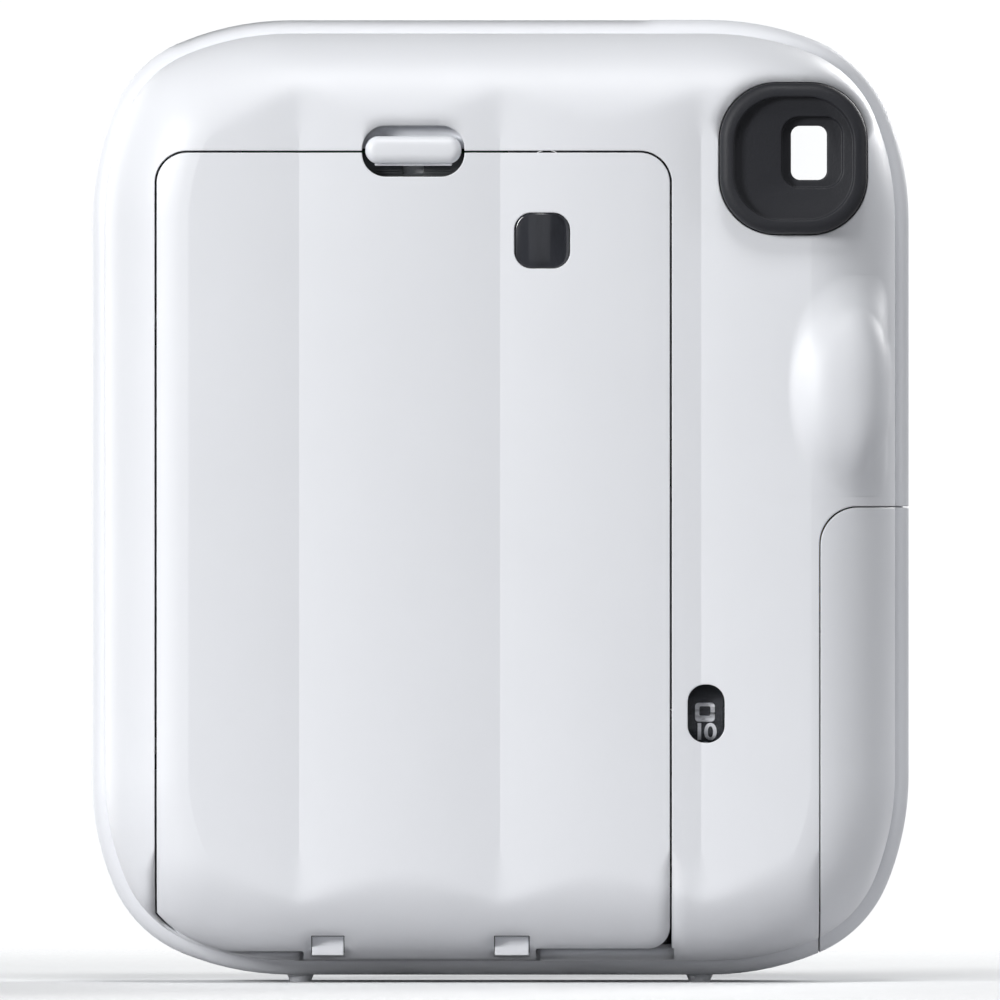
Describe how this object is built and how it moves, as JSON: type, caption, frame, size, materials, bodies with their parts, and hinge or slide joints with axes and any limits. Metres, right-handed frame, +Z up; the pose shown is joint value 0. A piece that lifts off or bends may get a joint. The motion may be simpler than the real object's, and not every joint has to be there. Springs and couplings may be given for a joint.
{
  "type": "instant camera",
  "caption": "Compact upright instant film camera with soft cushioned casing, hinged film door with latch, side battery door, corner viewfinder, twist-out lens barrel and print slot.",
  "frame": {"origin": "middle of the bounding box in plan, on the plane of the feet", "axes": "+Y is the way the lens looks, +Z is up, +X is to the right for someone behind the camera"},
  "size_m": [0.104, 0.0666, 0.1224],
  "materials": {
    "shell": "fine satin, cool white",
    "trim_white": "satin",
    "ring_grey": "satin grey",
    "black_satin": "satin black",
    "black_matte": "matte black",
    "latch_grey": "satin dark grey",
    "window_dark": "smoked clear plastic",
    "window_clear": "clear",
    "flash_diffuser": "prismatic clear plastic",
    "lens_glass": "coated glass",
    "sensor_amber": "dark red clear plastic",
    "sensor_black": "matte black",
    "mirror": "polished",
    "reflector": "bright",
    "steel": "bright",
    "gear_plastic": "satin natural",
    "counter_ink": "dark with pale numbers",
    "cell_wrap": "printed wrap",
    "motor_can": "plated",
    "capacitor_can": "sleeved",
    "circuit_board": "lacquered"
  },
  "bodies": {
    "camera": {"rear_cover": "shell", "front_cover": "shell", "feet": "shell", "lens_collar": "trim_white", "viewfinder_bezel": "trim_white", "eyepiece": "black_satin", "print_exit_guide": "black_satin", "film_chamber_frame": "black_matte", "exposure_cone": "black_matte", "viewfinder_tunnel": "black_matte", "battery_holder": "black_matte", "board_components": "black_matte", "counter_window": "window_dark", "eyepiece_lens": "window_clear", "viewfinder_window": "window_clear", "flash_window": "flash_diffuser", "flash_tube": "lens_glass", "light_sensor_window": "sensor_amber", "light_sensor": "sensor_black", "flash_reflector": "reflector", "frame_screws": "steel", "idler_axle": "steel", "counter_axle": "steel", "battery_contacts": "steel", "shutter_spring": "steel", "strap_bars": "steel", "aa_cells": "cell_wrap", "film_motor": "motor_can", "flash_capacitor": "capacitor_can", "circuit_boards": "circuit_board"},
    "film_door": {"film_door": "shell", "film_door_hinge_pin": "steel", "door_liner": "black_matte", "film_pressure_springs": "steel", "film_window": "window_dark", "latch_bed": "latch_grey", "latch_spring": "steel"},
    "door_latch": {"latch_slider": "shell"},
    "battery_door": {"battery_door": "shell"},
    "shutter_button": {"shutter_button": "shell"},
    "lens_ring": {"lens_ring": "ring_grey"},
    "lens_tube": {"lens_tube": "trim_white", "lens_bezel": "black_satin", "selfie_mirror": "mirror", "lens_front_glass": "lens_glass", "lens_cells": "black_matte", "lens_elements": "lens_glass", "shutter_plate": "black_matte"},
    "shutter_leaf_left": {"shutter_blade_left": "black_matte"},
    "shutter_leaf_right": {"shutter_blade_right": "black_matte"},
    "front_roller": {"front_roller": "steel", "sync_gear_front": "gear_plastic", "roller_gear": "gear_plastic"},
    "rear_roller": {"rear_roller": "steel", "sync_gear_rear": "gear_plastic"},
    "idler": {"idler_gear": "gear_plastic"},
    "motor_rotor": {"motor_pinion": "gear_plastic", "motor_shaft": "steel"},
    "counter_drum": {"film_counter_drum": "counter_ink"}
  },
  "joints": [
    {"name": "film_door_hinge", "type": "hinge", "parent": "camera", "child": "film_door", "pos_m": [-0.0102, -0.023, 0.0053], "axis": [1, 0, 0], "range_deg": [0, 90]},
    {"name": "latch_slide", "type": "slide", "parent": "film_door", "child": "door_latch", "axis": [0, 0, -1], "range_m": [0, 0.0009], "stiffness_N_per_m": 150, "springref_m": -0.003},
    {"name": "battery_door_slide", "type": "slide", "parent": "camera", "child": "battery_door", "axis": [0, 0, -1], "range_m": [0, 0.058]},
    {"name": "shutter_press", "type": "slide", "parent": "camera", "child": "shutter_button", "axis": [0, -1, 0], "range_m": [0, 0.0015], "stiffness_N_per_m": 400, "springref_m": -0.002},
    {"name": "lens_ring_turn", "type": "hinge", "parent": "camera", "child": "lens_ring", "pos_m": [-0.011, 0.018, 0.052], "axis": [0, 1, 0], "range_deg": [0, 60]},
    {"name": "lens_tube_slide", "type": "slide", "parent": "camera", "child": "lens_tube", "axis": [0, 1, 0], "range_m": [0, 0.01]},
    {"name": "leaf_left_swing", "type": "hinge", "parent": "lens_tube", "child": "shutter_leaf_left", "pos_m": [-0.023, 0.01925, 0.042], "axis": [0, -1, 0], "range_deg": [0, 40]},
    {"name": "leaf_right_swing", "type": "hinge", "parent": "lens_tube", "child": "shutter_leaf_right", "pos_m": [0.001, 0.01965, 0.042], "axis": [0, 1, 0], "range_deg": [0, 40]},
    {"name": "front_roller_spin", "type": "hinge", "parent": "camera", "child": "front_roller", "pos_m": [-0.011, -0.00735, 0.1015], "axis": [1, 0, 0], "continuous": true},
    {"name": "rear_roller_spin", "type": "hinge", "parent": "camera", "child": "rear_roller", "pos_m": [-0.011, -0.01385, 0.1015], "axis": [1, 0, 0], "continuous": true},
    {"name": "idler_spin", "type": "hinge", "parent": "camera", "child": "idler", "pos_m": [0.0229, -0.00735, 0.09], "axis": [1, 0, 0], "continuous": true},
    {"name": "motor_spin", "type": "hinge", "parent": "camera", "child": "motor_rotor", "pos_m": [0.0229, -0.00735, 0.081], "axis": [1, 0, 0], "continuous": true},
    {"name": "counter_spin", "type": "hinge", "parent": "camera", "child": "counter_drum", "pos_m": [0.026, -0.0232, 0.0342], "axis": [1, 0, 0], "continuous": true}
  ],
  "couplings": [
    {"joint": "lens_tube_slide", "follows": "lens_ring_turn", "m_per_rad": 0.009549},
    {"joint": "leaf_right_swing", "follows": "leaf_left_swing", "ratio": 1},
    {"joint": "rear_roller_spin", "follows": "front_roller_spin", "ratio": -1},
    {"joint": "idler_spin", "follows": "front_roller_spin", "ratio": -0.91667},
    {"joint": "motor_spin", "follows": "front_roller_spin", "ratio": 1.8333}
  ]
}
